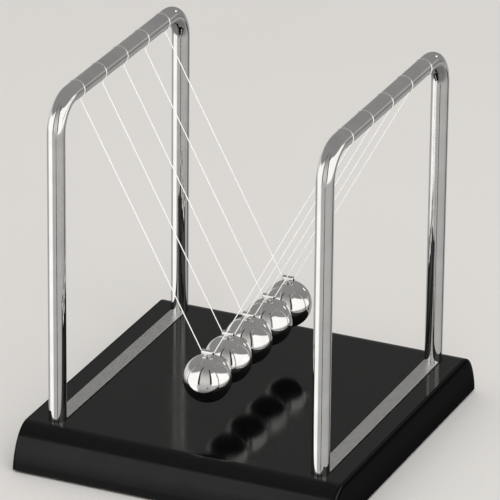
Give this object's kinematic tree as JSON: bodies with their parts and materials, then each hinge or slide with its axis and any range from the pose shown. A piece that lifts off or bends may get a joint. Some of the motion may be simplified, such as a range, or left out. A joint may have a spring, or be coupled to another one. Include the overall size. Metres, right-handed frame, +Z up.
{
  "type": "newton's cradle",
  "caption": "Desk newton's cradle: a row of polished steel balls on V-shaped nylon lines between chromed U-frames on a rounded gloss black base with brushed metal inlays.",
  "frame": {"origin": "centre of the footprint on the resting plane", "axes": "+Z up, +X from the left frame to the right frame, +Y along the row from the front ball to the rear ball"},
  "size_m": [0.141, 0.1516, 0.1611],
  "materials": {
    "gloss_black": "polished gloss black moulding",
    "black_plastic": "fine matt texture",
    "ballast_steel": "bare mill finish",
    "inlay_metal": "brushed satin",
    "zinc": "zinc plated",
    "chrome_rod": "mirror chrome plate",
    "hanger_chrome": "bright chrome plate",
    "polished_steel": "mirror polished",
    "foot_rubber": "matt",
    "nylon_line": "translucent white nylon"
  },
  "bodies": {
    "base": {"base_shell": "gloss_black", "bottom_plate": "black_plastic", "ballast_plate": "ballast_steel", "inlay_left": "inlay_metal", "inlay_right": "inlay_metal", "frame_left": "chrome_rod", "frame_right": "chrome_rod", "foot_front_left": "foot_rubber", "foot_rear_left": "foot_rubber", "foot_front_right": "foot_rubber", "foot_rear_right": "foot_rubber", "frame_screw_front_left": "zinc", "frame_screw_rear_left": "zinc", "frame_screw_front_right": "zinc", "frame_screw_rear_right": "zinc", "frame_washer_front_left": "zinc", "frame_washer_rear_left": "zinc", "frame_washer_front_right": "zinc", "frame_washer_rear_right": "zinc", "cover_screw_left": "zinc", "cover_screw_right": "zinc", "cover_screw_front": "zinc", "cover_screw_rear": "zinc", "loop_left_1": "nylon_line", "loop_left_2": "nylon_line", "loop_left_3": "nylon_line", "loop_left_4": "nylon_line", "loop_left_5": "nylon_line", "loop_right_1": "nylon_line", "loop_right_2": "nylon_line", "loop_right_3": "nylon_line", "loop_right_4": "nylon_line", "loop_right_5": "nylon_line"},
    "pendulum_1": {"ball_1": "polished_steel", "hanger_1": "hanger_chrome", "line_1": "nylon_line", "knot_left_1": "nylon_line", "knot_right_1": "nylon_line"},
    "pendulum_2": {"ball_2": "polished_steel", "hanger_2": "hanger_chrome", "line_2": "nylon_line", "knot_left_2": "nylon_line", "knot_right_2": "nylon_line"},
    "pendulum_3": {"ball_3": "polished_steel", "hanger_3": "hanger_chrome", "line_3": "nylon_line", "knot_left_3": "nylon_line", "knot_right_3": "nylon_line"},
    "pendulum_4": {"ball_4": "polished_steel", "hanger_4": "hanger_chrome", "line_4": "nylon_line", "knot_left_4": "nylon_line", "knot_right_4": "nylon_line"},
    "pendulum_5": {"ball_5": "polished_steel", "hanger_5": "hanger_chrome", "line_5": "nylon_line", "knot_left_5": "nylon_line", "knot_right_5": "nylon_line"}
  },
  "joints": [
    {"name": "front_ball_swing", "type": "hinge", "parent": "base", "child": "pendulum_1", "pos_m": [0, -0.0401, 0.1524], "axis": [-1, 0, 0], "range_deg": [0, 60]},
    {"name": "rear_balls_swing", "type": "hinge", "parent": "base", "child": "pendulum_5", "pos_m": [0, 0.0401, 0.1524], "axis": [1, 0, 0], "range_deg": [0, 60]},
    {"name": "rear_balls_swing_4", "type": "hinge", "parent": "base", "child": "pendulum_4", "pos_m": [0, 0.02005, 0.1524], "axis": [1, 0, 0], "range_deg": [0, 60]},
    {"name": "rear_balls_swing_3", "type": "hinge", "parent": "base", "child": "pendulum_3", "pos_m": [0, 0, 0.1524], "axis": [1, 0, 0], "range_deg": [0, 60]},
    {"name": "rear_balls_swing_2", "type": "hinge", "parent": "base", "child": "pendulum_2", "pos_m": [0, -0.02005, 0.1524], "axis": [1, 0, 0], "range_deg": [0, 60]}
  ],
  "couplings": [
    {"joint": "rear_balls_swing_4", "follows": "rear_balls_swing", "ratio": 1},
    {"joint": "rear_balls_swing_3", "follows": "rear_balls_swing", "ratio": 1},
    {"joint": "rear_balls_swing_2", "follows": "rear_balls_swing", "ratio": 1}
  ]
}
